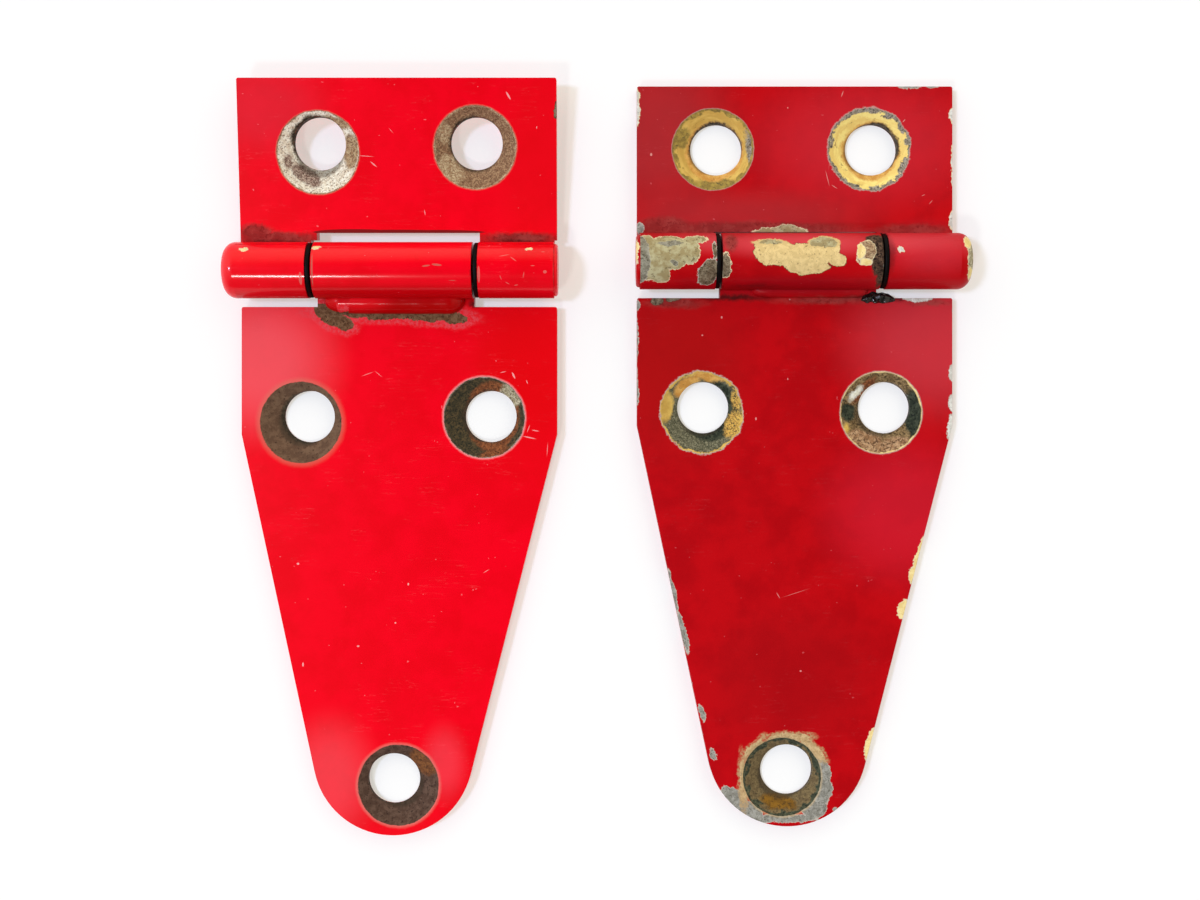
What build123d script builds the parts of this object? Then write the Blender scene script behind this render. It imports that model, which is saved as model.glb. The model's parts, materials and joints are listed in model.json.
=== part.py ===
import os
from dataclasses import dataclass
from math import cos, radians, sin, sqrt, tan

from build123d import *

os.makedirs("parts", exist_ok=True)

# Sizes that both hinges share, in millimetres
leaf_width = 63.5
plate_thickness = 3.175
pin_diameter = 4.76
pin_clearance = 0.05
seam_gap = 0.2
corner_radius = 0.4

# Knuckles along the hinge axis, from the inner end to the outer end
inner_knuckle_setback = 0.5
peened_radius = 5.2
peened_thickness = 0.8
peened_bevel = 0.45
pin_head_thickness = 2.7
pin_head_round = 2.4
pin_head_round_steps = 3
middle_knuckle_width = 31.5
outer_knuckle_width = 14.1
knuckle_gap = 1.2
cowl_slot_end = 16.45
tab_root_clearance = 0.35

# Washers lie against the cowl leaf's knuckles and leave the strap's knuckle free to turn
washer_thickness = 0.9
washer_bore_clearance = 0.1
washer_recess = 0.15

# Hood strap, measured along it from the hinge axis
strap_shoulder = 7.1
strap_taper_start = 32.75
strap_length = 113.5
strap_nose_radius = 16.1

# Screw holes, countersunk with a broad drill point
hole_diameter = 10.4
countersink_diameter = 16.5
countersink_angle = 118.0
cowl_hole_spacing = 31.4
strap_hole_spacing = 36.7
strap_hole_distance = 29.1
nose_hole_distance = 102.4

# Weld bead: its ends run out to this radius over this length
bead_tip_radius = 0.6
bead_taper = 3.0

# Place of the two hinges on the table
middle_to_middle = 79.6
right_hinge_ahead = 1.8
left_cowl_length = 37.9
left_cowl_fold = 7.0

# Sizes that follow from the ones above
half_width = leaf_width / 2
bore_radius = pin_diameter / 2 + pin_clearance
barrel_radius = bore_radius + plate_thickness
inner_knuckle_width = leaf_width - middle_knuckle_width - outer_knuckle_width - 2 * knuckle_gap
inner_knuckle_start = inner_knuckle_setback - half_width
inner_knuckle_end = inner_knuckle_width - half_width
middle_knuckle_start = inner_knuckle_end + knuckle_gap
middle_knuckle_end = middle_knuckle_start + middle_knuckle_width
outer_knuckle_start = half_width - outer_knuckle_width
tab_root = barrel_radius + tab_root_clearance
countersink_depth = countersink_diameter / 2 / tan(radians(countersink_angle / 2))
crevice_distance = sqrt(barrel_radius**2 - bore_radius**2)

# The left hinge is the longer one and sets the middle of the pair's length
left_fold_angle = radians(left_cowl_fold)
left_cowl_reach = left_cowl_length * cos(left_fold_angle) + barrel_radius * sin(left_fold_angle)
left_axis_y = (strap_length - left_cowl_reach) / 2


@dataclass
class Hinge:
    """Sizes and places in which the two hinges differ"""

    name: str
    outer_side: int
    axis_y: float
    cowl_length: float
    cowl_fold: float
    cowl_slot_edge: float
    cowl_hole_distance: float
    bead_radius: float
    bead_inner_inset: float
    bead_outer_inset: float
    nose_outwards: float
    cowl_sink_shifts: tuple
    strap_sink_shifts: tuple
    nose_sink_shift: tuple


# Both straps' noses stand a little to the left of the middle, as they were cut by hand. Each
# countersink stands off its hole's centre: towards the hinge's outer end, then away from the
# barrel. Of two holes in a row the inner one comes first.
left_hinge = Hinge(
    name="left",
    outer_side=-1,
    axis_y=left_axis_y,
    cowl_length=left_cowl_length,
    cowl_fold=left_cowl_fold,
    cowl_slot_edge=7.45,
    cowl_hole_distance=25.2,
    bead_radius=2.5,
    bead_inner_inset=2.05,
    bead_outer_inset=1.55,
    nose_outwards=1.3,
    cowl_sink_shifts=((0.2, -0.9), (0.15, -1.9)),
    strap_sink_shifts=((1.25, 0.25), (1.5, 1.25)),
    nose_sink_shift=(-1.1, 1.0),
)
right_hinge = Hinge(
    name="right",
    outer_side=1,
    axis_y=left_axis_y + right_hinge_ahead,
    cowl_length=35.5,
    cowl_fold=0.0,
    cowl_slot_edge=6.2,
    cowl_hole_distance=23.15,
    bead_radius=1.45,
    bead_inner_inset=6.45,
    bead_outer_inset=1.95,
    nose_outwards=-1.5,
    cowl_sink_shifts=((-0.75, -0.3), (-0.75, -0.3)),
    strap_sink_shifts=((-0.35, 1.05), (-0.95, 1.05)),
    nose_sink_shift=(-1.05, 1.2),
)


def place_x(hinge, outwards):
    """X of a point that lies this far from the leaf's middle towards the hinge's outer end"""
    return hinge.outer_side * (middle_to_middle / 2 + outwards)


def square_to_pin(hinge, outwards):
    """Plane square to the hinge axis, looking towards the outer end, with its origin on the axis"""
    origin = (place_x(hinge, outwards), hinge.axis_y, barrel_radius)
    return Plane(origin=origin, x_dir=(0, 1, 0), z_dir=(hinge.outer_side, 0, 0))


def draw_strip(hinge, start, end, near, far, mode=Mode.ADD):
    """Rectangle between two places along the pin and two distances from it, the cowl leaf's positive"""
    with Locations((place_x(hinge, (start + end) / 2), hinge.axis_y + (near + far) / 2)):
        Rectangle(end - start, abs(far - near), mode=mode)


def add_rolled_knuckle(hinge, start, end, leaf_direction):
    """Ring of plate around the pin, with a seam where the rolled end comes back to the leaf"""
    with BuildSketch(square_to_pin(hinge, start)) as ring:
        Circle(barrel_radius)
        Circle(bore_radius, mode=Mode.SUBTRACT)
        with Locations((leaf_direction * barrel_radius / 2, seam_gap / 2 - bore_radius)):
            Rectangle(barrel_radius, seam_gap, mode=Mode.SUBTRACT)
    extrude(ring.sketch, amount=end - start)


def cut_countersunk_hole(hinge, outwards, leaf_direction, distance, shift):
    """Screw hole, and its countersink that was drilled a little off the hole's centre"""
    hole_y = hinge.axis_y + leaf_direction * distance
    with Locations((place_x(hinge, outwards), hole_y, plate_thickness)):
        Hole(hole_diameter / 2)
    sink_x = place_x(hinge, outwards + shift[0])
    sink_y = hole_y + leaf_direction * shift[1]
    with Locations((sink_x, sink_y, plate_thickness)):
        Cone(
            bottom_radius=0,
            top_radius=countersink_diameter / 2,
            height=countersink_depth,
            align=(Align.CENTER, Align.CENTER, Align.MAX),
            mode=Mode.SUBTRACT,
        )


def save(piece, name):
    """Label a finished piece and write it under the same name"""
    piece.label = name
    export_step(piece, "parts/" + name + ".step")


for hinge in (left_hinge, right_hinge):
    hinge_x = place_x(hinge, 0)
    hinge_axis = Axis((hinge_x, hinge.axis_y, barrel_radius), (1, 0, 0))

    # Cowl leaf: a plate with a slot, whose two tabs are rolled around the pin
    with BuildPart() as cowl_leaf:
        with BuildSketch():
            draw_strip(hinge, -half_width, half_width, tab_root, hinge.cowl_length)
            slot_edge = hinge.cowl_slot_edge
            draw_strip(hinge, inner_knuckle_end, cowl_slot_end, tab_root, slot_edge, Mode.SUBTRACT)
            draw_strip(hinge, inner_knuckle_start, inner_knuckle_end, 0, tab_root)
            draw_strip(hinge, outer_knuckle_start, half_width, 0, tab_root)
        extrude(amount=plate_thickness)
        fillet(cowl_leaf.edges().filter_by(Axis.Z).group_by(Axis.Y)[-1], radius=corner_radius)
        add_rolled_knuckle(hinge, inner_knuckle_start, inner_knuckle_end, 1)
        add_rolled_knuckle(hinge, outer_knuckle_start, half_width, 1)
        for side, shift in zip((-1, 1), hinge.cowl_sink_shifts):
            outwards = side * cowl_hole_spacing / 2
            cut_countersunk_hole(hinge, outwards, 1, hinge.cowl_hole_distance, shift)
    cowl_leaf.part = cowl_leaf.part.rotate(hinge_axis, hinge.cowl_fold)
    save(cowl_leaf.part, hinge.name + "_cowl_leaf")

    # Hood strap: tapers to a round nose, and its one tab is rolled between the cowl leaf's two
    with BuildPart() as hood_strap:
        with BuildSketch():
            draw_strip(hinge, -half_width, half_width, -strap_shoulder, -strap_taper_start)
            nose_x = place_x(hinge, hinge.nose_outwards)
            with Locations((nose_x, hinge.axis_y - strap_length + strap_nose_radius)):
                Circle(strap_nose_radius)
            make_hull()
        extrude(amount=plate_thickness)
        fillet(hood_strap.edges().filter_by(Axis.Z).group_by(Axis.Y)[-1], radius=corner_radius)
        with BuildSketch():
            draw_strip(hinge, middle_knuckle_start, middle_knuckle_end, 0, -strap_shoulder)
        extrude(amount=plate_thickness)
        add_rolled_knuckle(hinge, middle_knuckle_start, middle_knuckle_end, -1)

        # Weld bead along the crevice that closes the rolled tab, half sunk in it, with ends that run out
        # before the ends of the knuckle
        bead_start = middle_knuckle_start + hinge.bead_inner_inset
        bead_end = middle_knuckle_end - hinge.bead_outer_inset
        bead_y = hinge.axis_y - crevice_distance - hinge.bead_radius / 3
        tip_y = bead_y + bead_tip_radius
        crest_y = bead_y + hinge.bead_radius
        bead_corners = (
            (place_x(hinge, bead_start), bead_y),
            (place_x(hinge, bead_start), tip_y),
            (place_x(hinge, bead_start + bead_taper), crest_y),
            (place_x(hinge, bead_end - bead_taper), crest_y),
            (place_x(hinge, bead_end), tip_y),
            (place_x(hinge, bead_end), bead_y),
        )
        with BuildSketch(Plane.XY.offset(plate_thickness)):
            with BuildLine():
                Polyline(*bead_corners, close=True)
            make_face()
        revolve(axis=Axis((hinge_x, bead_y, plate_thickness), (1, 0, 0)))

        for side, shift in zip((-1, 1), hinge.strap_sink_shifts):
            outwards = side * strap_hole_spacing / 2
            cut_countersunk_hole(hinge, outwards, -1, strap_hole_distance, shift)
        cut_countersunk_hole(hinge, hinge.nose_outwards, -1, nose_hole_distance, hinge.nose_sink_shift)
    save(hood_strap.part, hinge.name + "_hood_strap")

    # Hinge pin: a head as wide as the barrel, rounded over in steps as by a hammer, a plain shank and
    # a peened inner end
    head_top = half_width + pin_head_thickness
    round_angles = [radians(90 * step / pin_head_round_steps) for step in range(pin_head_round_steps + 1)]
    head_profile = [
        (head_top - pin_head_round * (1 - sin(angle)), barrel_radius - pin_head_round * (1 - cos(angle)))
        for angle in round_angles
    ]
    peened_top = inner_knuckle_start - peened_thickness
    along_pin = Plane(hinge_axis.position, x_dir=(hinge.outer_side, 0, 0), z_dir=(0, 0, 1))
    with BuildPart() as hinge_pin:
        with BuildSketch(along_pin):
            with BuildLine():
                Polyline(
                    (half_width, barrel_radius),
                    *head_profile,
                    (head_top, 0),
                    (peened_top, 0),
                    (peened_top, peened_radius - peened_bevel),
                    (peened_top + peened_bevel, peened_radius),
                    (inner_knuckle_start, peened_radius),
                    (inner_knuckle_start, pin_diameter / 2),
                    (half_width, pin_diameter / 2),
                    close=True,
                )
            make_face()
        revolve(axis=hinge_axis)
    save(hinge_pin.part, hinge.name + "_hinge_pin")

    # Black washers in the two gaps between the knuckles
    washer_starts = {"inner": inner_knuckle_end, "outer": outer_knuckle_start - washer_thickness}
    for end_name, washer_start in washer_starts.items():
        with BuildPart() as washer:
            with BuildSketch(square_to_pin(hinge, washer_start)):
                Circle(barrel_radius - washer_recess)
                Circle(pin_diameter / 2 + washer_bore_clearance, mode=Mode.SUBTRACT)
            extrude(amount=washer_thickness)
        save(washer.part, hinge.name + "_" + end_name + "_washer")
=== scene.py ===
import json
from dataclasses import dataclass, field, replace
from math import cos, pi, radians, sin

import bmesh
import bpy
from mathutils import Matrix, Vector, noise


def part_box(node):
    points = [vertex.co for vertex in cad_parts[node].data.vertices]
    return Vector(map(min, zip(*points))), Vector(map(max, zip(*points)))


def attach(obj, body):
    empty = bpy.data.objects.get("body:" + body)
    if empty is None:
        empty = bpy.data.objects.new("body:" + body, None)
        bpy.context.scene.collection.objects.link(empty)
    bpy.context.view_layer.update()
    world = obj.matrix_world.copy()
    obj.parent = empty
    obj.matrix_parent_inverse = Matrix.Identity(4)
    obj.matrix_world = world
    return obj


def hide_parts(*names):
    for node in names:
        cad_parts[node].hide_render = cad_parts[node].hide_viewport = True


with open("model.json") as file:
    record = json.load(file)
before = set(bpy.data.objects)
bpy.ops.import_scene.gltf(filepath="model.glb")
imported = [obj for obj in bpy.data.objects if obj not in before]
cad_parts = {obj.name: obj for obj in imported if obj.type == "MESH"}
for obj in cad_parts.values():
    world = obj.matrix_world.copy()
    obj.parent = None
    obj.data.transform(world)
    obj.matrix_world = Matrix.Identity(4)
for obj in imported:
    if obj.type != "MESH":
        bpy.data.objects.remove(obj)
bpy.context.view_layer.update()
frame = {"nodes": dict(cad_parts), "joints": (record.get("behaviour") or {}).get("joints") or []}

# The scene is in metres. These sizes of the hinges, and the places of all marks, are in millimetres
mm = 0.001
per_mm = 1 / mm
plate_thickness = 3.175
barrel_radius = 5.605
half_width = 31.75
edge_round = 0.3
left_fold = radians(7.0)

# Where each hinge's axis stands, read from the joints of the frame
axis_of = {joint["name"].split("_")[0]: Vector(joint["pos_m"]) for joint in frame["joints"]}

# Camera: straight above the table, with the width of the table that it sees from there
camera_height = 300 * mm
camera_place = (0.6 * mm, 1.7 * mm)
seen_width = 1200 * 0.2035 * mm
sensor_width = 36.0


def screen(red, green, blue):
    """Colour of 0 to 255 as a screen shows it, turned into the linear values that a shader takes"""
    shares = (red / 255, green / 255, blue / 255)
    return tuple(s / 12.92 if s < 0.04045 else ((s + 0.055) / 1.055) ** 2.4 for s in shares) + (1.0,)


# Node trees


class Tree:
    """A node tree under construction: makes nodes and links what feeds them"""

    def __init__(self, tree):
        self.tree = tree

    def add(self, kind, feeds=None, **settings):
        node = self.tree.nodes.new(kind)
        for name, value in settings.items():
            setattr(node, name, value)
        for socket, value in (feeds or {}).items():
            self.feed(node.inputs[socket], value)
        return node

    def feed(self, socket, value):
        if isinstance(value, bpy.types.NodeSocket):
            self.tree.links.new(value, socket)
        else:
            socket.default_value = value

    def math(self, operation, first, second=0.0):
        return self.add("ShaderNodeMath", {0: first, 1: second}, operation=operation).outputs[0]

    def vector(self, operation, first, second=(0, 0, 0)):
        node = self.add("ShaderNodeVectorMath", {0: first, 1: second}, operation=operation)
        return node.outputs["Value" if operation == "LENGTH" else "Vector"]

    def scale(self, vector, share):
        node = self.add("ShaderNodeVectorMath", {0: vector, "Scale": share}, operation="SCALE")
        return node.outputs["Vector"]

    def step(self, value, low, high, to_low=0.0, to_high=1.0):
        feeds = {"Value": value, "From Min": low, "From Max": high, "To Min": to_low, "To Max": to_high}
        return self.add("ShaderNodeMapRange", feeds, interpolation_type="SMOOTHSTEP").outputs["Result"]

    def noise(self, position, scale, detail=2.0, roughness=0.5, output="Fac"):
        feeds = {"Vector": position, "Scale": scale, "Detail": detail, "Roughness": roughness}
        return self.add("ShaderNodeTexNoise", feeds).outputs[output]

    def mix(self, share, under, over):
        node = self.add("ShaderNodeMix", data_type="RGBA")
        self.feed(node.inputs["Factor"], share)
        self.feed(node.inputs[6], under)
        self.feed(node.inputs[7], over)
        return node.outputs[2]

    def group(self, tree, feeds):
        node = self.add("ShaderNodeGroup", node_tree=tree)
        for socket, value in feeds.items():
            self.feed(node.inputs[socket], value)
        return node.outputs


def clear_tree(owner):
    """Empty node tree of a material or of the world"""
    owner.use_nodes = True
    owner.node_tree.nodes.clear()
    return Tree(owner.node_tree)


def new_group(name, inputs, outputs, kind="ShaderNodeTree"):
    """Empty node group with named sockets, given as {name: kind}"""
    tree = bpy.data.node_groups.new(name, kind)
    for socket, socket_kind in inputs.items():
        tree.interface.new_socket(socket, in_out="INPUT", socket_type="NodeSocket" + socket_kind)
    for socket, socket_kind in outputs.items():
        tree.interface.new_socket(socket, in_out="OUTPUT", socket_type="NodeSocket" + socket_kind)
    nodes = Tree(tree)
    return nodes, nodes.add("NodeGroupInput").outputs, nodes.add("NodeGroupOutput").inputs


def make_patch_depth():
    """How many millimetres a point lies inside an oval patch, below zero outside it"""
    inputs = {"Position": "Vector", "Centre": "Vector", "Half Size": "Vector", "Turn": "Vector"}
    nodes, given, out = new_group("patch_depth", inputs, {"Depth": "Float"})
    feeds = {
        "Vector": given["Position"],
        "Location": given["Centre"],
        "Rotation": given["Turn"],
        "Scale": given["Half Size"],
    }
    share = nodes.vector("LENGTH", nodes.add("ShaderNodeMapping", feeds, vector_type="TEXTURE").outputs[0])
    sizes = nodes.add("ShaderNodeSeparateXYZ", {0: given["Half Size"]}).outputs
    narrow = nodes.math("MINIMUM", sizes["X"], sizes["Y"])
    nodes.feed(out["Depth"], nodes.math("MULTIPLY", nodes.math("SUBTRACT", 1.0, share), narrow))
    return nodes.tree


def make_ragged():
    """Moves the position a little to and fro, so that what is drawn with it gets a ragged outline"""
    inputs = {"Position": "Vector", "Broad": "Float", "Fine": "Float"}
    nodes, given, out = new_group("ragged_outline", inputs, {"Position": "Vector"})
    place = given["Position"]
    for size, scale in (("Broad", 0.45), ("Fine", 2.4)):
        spread = nodes.noise(given["Position"], scale, 2.0, output="Color")
        centred = nodes.vector("SUBTRACT", spread, (0.5, 0.5, 0.5))
        place = nodes.vector("ADD", place, nodes.scale(centred, given[size]))
    nodes.feed(out["Position"], place)
    return nodes.tree


def make_mottle():
    """Colour that wanders softly between two tones, with specks of a third, as on primer, zinc and rust"""
    tones = {"Light": "Color", "Middle": "Color", "Dark": "Color"}
    inputs = {"Position": "Vector", "Size": "Float", "Dark Share": "Float", **tones}
    nodes, given, out = new_group("mottled_tones", inputs, {"Color": "Color"})
    scale = nodes.math("DIVIDE", 1.0, given["Size"])
    broad = nodes.noise(given["Position"], scale, 4.0, 0.65)
    fine = nodes.noise(given["Position"], nodes.math("MULTIPLY", scale, 2.2), 3.0, 0.75)
    colour = nodes.mix(nodes.step(broad, 0.38, 0.6), given["Light"], given["Middle"])
    below = nodes.math("SUBTRACT", given["Dark Share"], 0.04)
    above = nodes.math("ADD", given["Dark Share"], 0.04)
    dark = nodes.step(fine, below, above, 0.9, 0.0)
    nodes.feed(out["Color"], nodes.mix(dark, colour, given["Dark"]))
    return nodes.tree


def make_around_hole():
    """A position that runs around a hole, for marks that follow the drill"""
    inputs = {"Position": "Vector", "Centre": "Vector"}
    nodes, given, out = new_group("around_hole", inputs, {"Along": "Vector"})
    away = nodes.vector("SUBTRACT", given["Position"], given["Centre"])
    flat = nodes.vector("MULTIPLY", away, (1, 1, 0))
    distance = nodes.vector("LENGTH", flat)
    around = nodes.scale(nodes.vector("NORMALIZE", flat), 2.6)
    rings = nodes.add("ShaderNodeCombineXYZ", {"Z": nodes.math("MULTIPLY", distance, 1.5)}).outputs[0]
    nodes.feed(out["Along"], nodes.vector("ADD", around, rings))
    return nodes.tree


def make_fine_scratches():
    """Sparse hair lines that run roughly one way"""
    inputs = {"Position": "Vector", "Turn": "Vector", "Share": "Float"}
    nodes, given, out = new_group("fine_scratches", inputs, {"Mask": "Float"})
    feeds = {"Vector": given["Position"], "Rotation": given["Turn"], "Scale": (0.09, 1.1, 0.5)}
    stretched = nodes.add("ShaderNodeMapping", feeds).outputs[0]
    line = nodes.math("ABSOLUTE", nodes.math("SUBTRACT", nodes.noise(stretched, 1.0, 3.0), 0.5))
    where = nodes.step(nodes.noise(given["Position"], 0.16, 1.0), 0.5, 0.62)
    thin = nodes.step(line, 0.0, 0.006, 1.0, 0.0)
    nodes.feed(out["Mask"], nodes.math("MULTIPLY", nodes.math("MULTIPLY", thin, where), given["Share"]))
    return nodes.tree


def make_paint_film():
    """What paint has all over: faint clouds, hair lines and specks where it is scuffed, and a peel"""
    outputs = {"Cloud": "Float", "Scuffing": "Float", "Height": "Float"}
    nodes, given, out = new_group("paint_film", {"Position": "Vector"}, outputs)
    place = given["Position"]
    nodes.feed(out["Cloud"], nodes.step(nodes.noise(place, 0.13, 4.0, 0.6), 0.36, 0.66))
    hairs = nodes.group(fine_scratches, {"Position": place, "Turn": (0, 0, 1.9), "Share": 0.14})["Mask"]
    specks = nodes.step(nodes.noise(place, 1.1, 1.0), 0.79, 0.81, 0.0, 0.6)
    nodes.feed(out["Scuffing"], nodes.math("MAXIMUM", hairs, specks))
    nodes.feed(out["Height"], nodes.math("MULTIPLY", nodes.noise(place, 0.45, 2.0), 0.12))
    return nodes.tree


def make_bare_metal():
    """Uneven roughness and grain of bare metal"""
    outputs = {"Roughness": "Float", "Height": "Float"}
    nodes, given, out = new_group("bare_metal", {"Position": "Vector"}, outputs)
    uneven = nodes.step(nodes.noise(given["Position"], 1.2, 2.0), 0.35, 0.65, 0.42, 0.7)
    nodes.feed(out["Roughness"], uneven)
    nodes.feed(out["Height"], nodes.noise(given["Position"], 2.6, 3.0, 0.6))
    return nodes.tree


def make_edge_wear():
    """Where paint is worn off the rounded edges: a share of their length"""
    inputs = {"Position": "Vector", "Edge": "Float", "Share": "Float"}
    nodes, given, out = new_group("edge_wear", inputs, {"Mask": "Float"})
    above = nodes.math("SUBTRACT", 1.0, given["Share"])
    along = nodes.noise(given["Position"], 0.35, 3.0)
    gaps = nodes.step(along, above, nodes.math("ADD", above, 0.04))
    nodes.feed(out["Mask"], nodes.math("MULTIPLY", given["Edge"], gaps))
    return nodes.tree


def make_torn_flakes():
    """Breaks a band of torn paint up into flakes, which stand up a little"""
    inputs = {"Position": "Vector", "Band": "Float"}
    nodes, given, out = new_group("torn_flakes", inputs, {"Mask": "Float", "Height": "Float"})
    flakes = nodes.step(nodes.noise(given["Position"], 1.5, 3.0, 0.7), 0.42, 0.58, 0.25, 0.9)
    nodes.feed(out["Mask"], nodes.math("MULTIPLY", given["Band"], flakes))
    raised = nodes.math("MULTIPLY", nodes.noise(given["Position"], 1.8, 3.0, 0.7), 1.4)
    nodes.feed(out["Height"], nodes.math("MULTIPLY", raised, given["Band"]))
    return nodes.tree


def make_chip_rim():
    """A chip's bare part and the band where the paint around it ends"""
    inputs = {"Depth": "Float", "Rim Width": "Float"}
    nodes, given, out = new_group("chip_rim", inputs, {"Rim": "Float", "Bare": "Float"})
    outside = nodes.math("MULTIPLY", given["Rim Width"], -1.0)
    nodes.feed(out["Rim"], nodes.step(given["Depth"], outside, nodes.math("MULTIPLY", outside, 0.35)))
    nodes.feed(out["Bare"], nodes.step(given["Depth"], -0.02, 0.08))
    return nodes.tree


def make_sink_rim():
    """A bare countersink's parts: the halo around it, its bare cone, the wavering band along its rim
    and the hole's wall below the cone"""
    sizes = {"Halo Width": "Float", "Halo Share": "Float", "Band Width": "Float"}
    inputs = {"Position": "Vector", "Depth": "Float", "Above Table": "Float", **sizes}
    outputs = {"Halo": "Float", "Band": "Float", "Wall": "Float", "Bare": "Float"}
    nodes, given, out = new_group("sink_rim", inputs, outputs)
    outside = nodes.math("MULTIPLY", given["Halo Width"], -1.0)
    nodes.feed(out["Halo"], nodes.step(given["Depth"], outside, 0.0, 0.0, given["Halo Share"]))
    narrow = nodes.math("MULTIPLY", given["Band Width"], 0.3)
    waver = nodes.step(nodes.noise(given["Position"], 0.5, 2.0), 0.4, 0.62, narrow, given["Band Width"])
    nodes.feed(out["Band"], nodes.step(nodes.math("SUBTRACT", given["Depth"], waver), -0.12, 0.12, 1.0, 0.0))
    nodes.feed(out["Wall"], nodes.step(given["Above Table"], 0.9, 1.35, 0.6, 0.0))
    nodes.feed(out["Bare"], nodes.step(given["Depth"], -0.04, 0.06))
    return nodes.tree


def make_dust():
    """Dust or bloom that lies in clouds on black rubber and grease"""
    sizes = {name: "Float" for name in ("Scale", "Low", "High", "Share")}
    nodes, given, out = new_group("dust_clouds", {"Position": "Vector", **sizes}, {"Mask": "Float"})
    clouds = nodes.noise(given["Position"], given["Scale"], 3.0)
    nodes.feed(out["Mask"], nodes.step(clouds, given["Low"], given["High"], 0.0, given["Share"]))
    return nodes.tree


patch_depth = make_patch_depth()
ragged_outline = make_ragged()
mottled_tones = make_mottle()
around_hole = make_around_hole()
fine_scratches = make_fine_scratches()
paint_film = make_paint_film()
bare_metal = make_bare_metal()
edge_wear = make_edge_wear()
torn_flakes = make_torn_flakes()
chip_rim = make_chip_rim()
sink_rim = make_sink_rim()
dust_clouds = make_dust()


# Paint, and what shows where it is gone


@dataclass
class Patch:
    """Oval mark. Its place is in millimetres from the middle of the hinge's axis, x to the right and y
    from the strap towards the cowl leaf"""

    x: float
    y: float
    half_x: float
    half_y: float
    turn: float = 0.0


@dataclass
class Tones:
    """Two tones of a bare or dirty surface and the tone of its specks, given as a screen shows them, with
    the specks' size and share"""

    light: tuple
    middle: tuple
    dark: tuple
    size: float
    dark_share: float

    def __post_init__(self):
        self.light, self.middle, self.dark = screen(*self.light), screen(*self.middle), screen(*self.dark)


@dataclass
class Chip:
    """Bare place: its ovals, the surface they lie on, its tones, and the band where the paint is torn"""

    patches: list
    surface: tuple
    tones: Tones
    rim: tuple
    rim_width: float = 0.12


@dataclass
class Zone:
    """Part of a countersink that has tones of its own"""

    patches: list
    tones: Tones


@dataclass
class Sink:
    """Bare countersink: its rim's centre and radius, how ragged the paint ends there, its tones, the
    band along its rim, and the halo of thin paint around it"""

    x: float
    y: float
    radius: float
    ragged: bool
    tones: Tones
    band: Tones
    band_width: float
    halo: tuple
    halo_width: float
    halo_share: float
    zones: list = field(default_factory=list)
    turned: bool = False


@dataclass
class WearAndLight:
    """Everything that marks the paint of one piece, and the light and shade painted on it. A tint is (patch,
    colour, strength), a mark (patches, surface, colour, strength) and grime and shade (patches, surface,
    tones, strength). Some tints, marks and grime are painted shade, painted sheen or a painted highlight"""

    tints: list = field(default_factory=list)
    marks: list = field(default_factory=list)
    grime_and_shade: list = field(default_factory=list)
    chips: list = field(default_factory=list)
    sinks: list = field(default_factory=list)


@dataclass
class Paint:
    """One hinge's paint"""

    red: tuple
    shade: tuple
    scuffed: tuple
    gloss: float
    roughness: float
    coat: float
    coat_roughness: float
    edge_tones: Tones
    edge_wear: float


# A mark's surface: the height of its middle, and how far above and below that it reaches
flat_marks = (plate_thickness, 2.2)
barrel_marks = (2 * barrel_radius, 5.4)
ring_marks = (barrel_radius, 9.0)
sink_marks = (1.5, 8.0)
leaf_marks = (plate_thickness, 60.0)

# A depth that is outside every mark, and the width up to which a chip's rim is plain
far_outside = -50.0
widest_plain_rim = 0.5


def wear_and_light_on(wear_and_light, on_barrel):
    """The marks and painted light that lie on a leaf's barrel, or else those that lie on its plate"""

    def here(surface):
        return (surface in (barrel_marks, ring_marks)) == on_barrel

    return WearAndLight(
        tints=wear_and_light.tints,
        marks=[mark for mark in wear_and_light.marks if here(mark[1])],
        grime_and_shade=[dirt_and_shade for dirt_and_shade in wear_and_light.grime_and_shade if here(dirt_and_shade[1])],
        chips=[chip for chip in wear_and_light.chips if here(chip.surface)],
        sinks=[] if on_barrel else wear_and_light.sinks,
    )


def deepest(nodes, position, patches, surface):
    """Depth inside the nearest of several patches on one surface"""
    height, reach = surface
    depth = None
    for patch in patches:
        feeds = {
            "Position": position,
            "Centre": (patch.x, patch.y, height),
            "Half Size": (patch.half_x, patch.half_y, reach),
            "Turn": (0, 0, radians(patch.turn)),
        }
        inside = nodes.group(patch_depth, feeds)["Depth"]
        depth = nodes.math("MAXIMUM", depth, inside) if depth else inside
    return depth


def mottled(nodes, position, tones):
    feeds = {
        "Position": position,
        "Size": tones.size,
        "Dark Share": tones.dark_share,
        "Light": tones.light,
        "Middle": tones.middle,
        "Dark": tones.dark,
    }
    return nodes.group(mottled_tones, feeds)["Color"]


def leaf_position(nodes, axis, fold):
    """Place on the leaf in millimetres from the hinge's axis, as if the leaf lay flat"""
    unfold = Matrix.Rotation(-fold, 3, "X")
    start = Vector((0, 0, barrel_radius)) - unfold @ axis * per_mm
    feeds = {
        "Vector": nodes.add("ShaderNodeTexCoord").outputs["Object"],
        "Scale": (per_mm, per_mm, per_mm),
        "Rotation": (-fold, 0, 0),
        "Location": start,
    }
    return nodes.add("ShaderNodeMapping", feeds).outputs[0]


def new_material(name):
    material = bpy.data.materials.new(name)
    nodes = clear_tree(material)
    surface = nodes.add("ShaderNodeBsdfPrincipled")
    nodes.add("ShaderNodeOutputMaterial", {"Surface": surface.outputs[0]})
    return material, nodes, surface


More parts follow.
